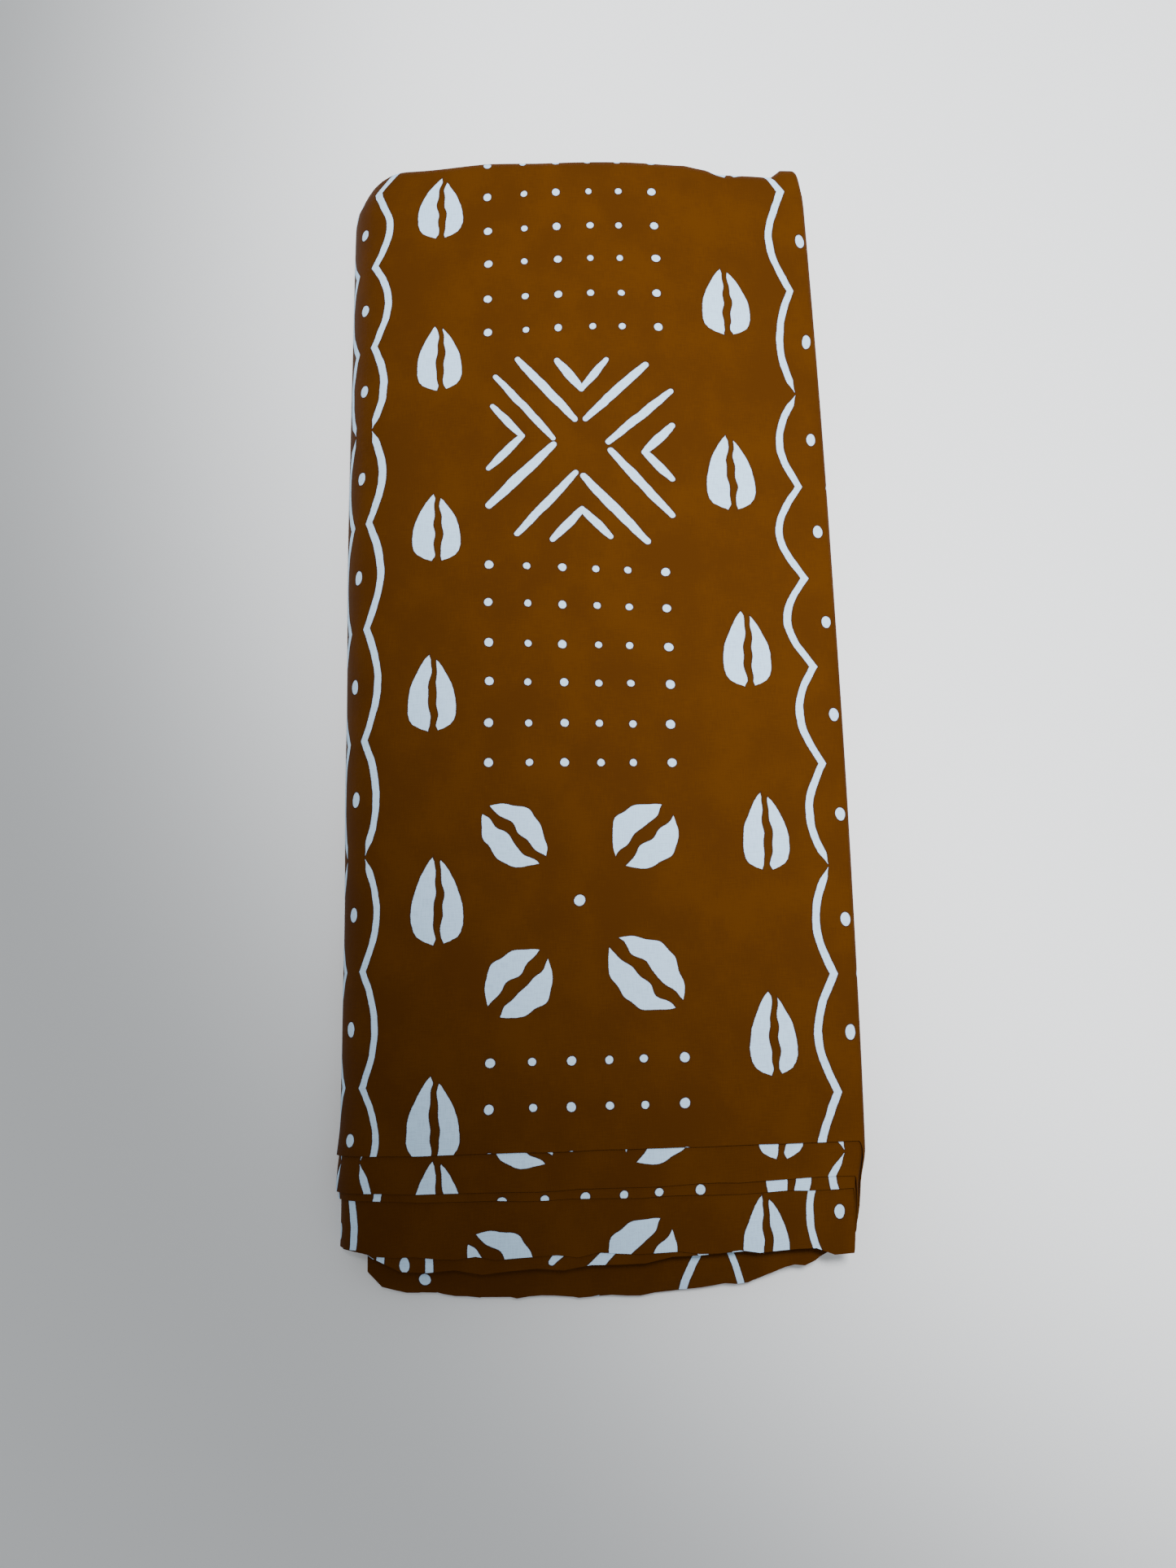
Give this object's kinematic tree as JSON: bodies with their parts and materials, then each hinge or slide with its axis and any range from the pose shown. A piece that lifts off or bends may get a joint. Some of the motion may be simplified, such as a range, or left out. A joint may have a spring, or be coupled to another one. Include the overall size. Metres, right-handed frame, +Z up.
{
  "type": "folded wax print fabric",
  "caption": "Length of printed cotton cloth folded into a flat rectangular bundle, closed at the far end and left side, selvedges stepped at the near end.",
  "frame": {"origin": "centre of the bundle's box, at the level of the surface that it lies on", "axes": "+Y along the bundle's length towards its closed far end, +Z up through its layers, +X towards its right side"},
  "size_m": [0.2632, 0.6194, 0.0418],
  "materials": {
    "cloth": "matte printed cotton, ochre ground with off-white motifs"
  },
  "bodies": {
    "root": {"folded_cloth": "cloth"}
  },
  "joints": []
}
